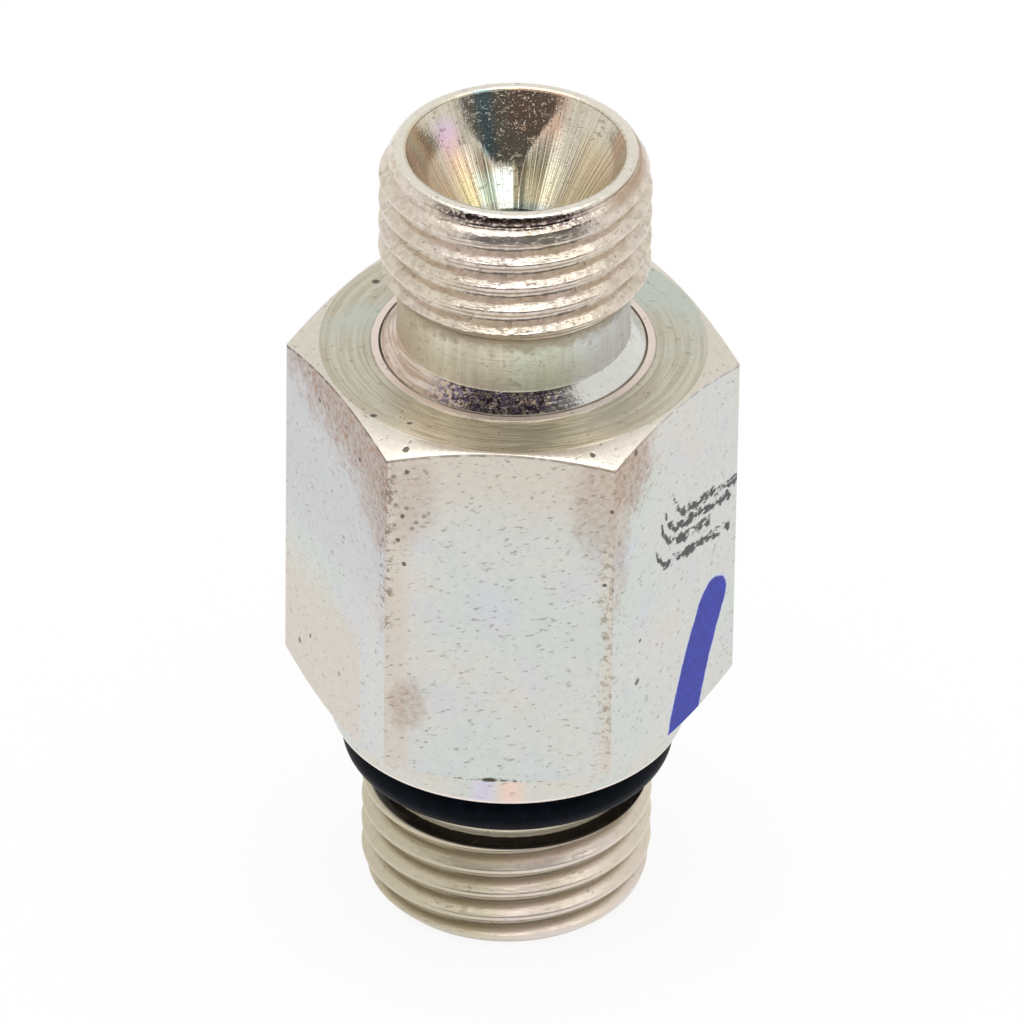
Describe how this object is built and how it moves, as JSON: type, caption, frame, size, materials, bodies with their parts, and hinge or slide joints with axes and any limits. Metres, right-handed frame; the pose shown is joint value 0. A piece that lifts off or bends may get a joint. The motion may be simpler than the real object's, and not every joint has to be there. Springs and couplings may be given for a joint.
{
  "type": "hydraulic adapter fitting",
  "caption": "Straight hydraulic adapter: coned male pipe thread, long hexagon, and a male stud end sealed by an O-ring under a round shoulder.",
  "frame": {"origin": "centre of the stud end's flat face, which the part stands on", "axes": "+Z along the bore axis towards the coned end; +X through a corner of the hexagon"},
  "size_m": [0.022, 0.019, 0.0425],
  "materials": {
    "zinc_plated_steel": "bright zinc plating, lightly worn",
    "black_rubber": "smooth, slightly glossy"
  },
  "bodies": {
    "root": {"adapter_body": "zinc_plated_steel", "o_ring": "black_rubber"}
  },
  "joints": []
}
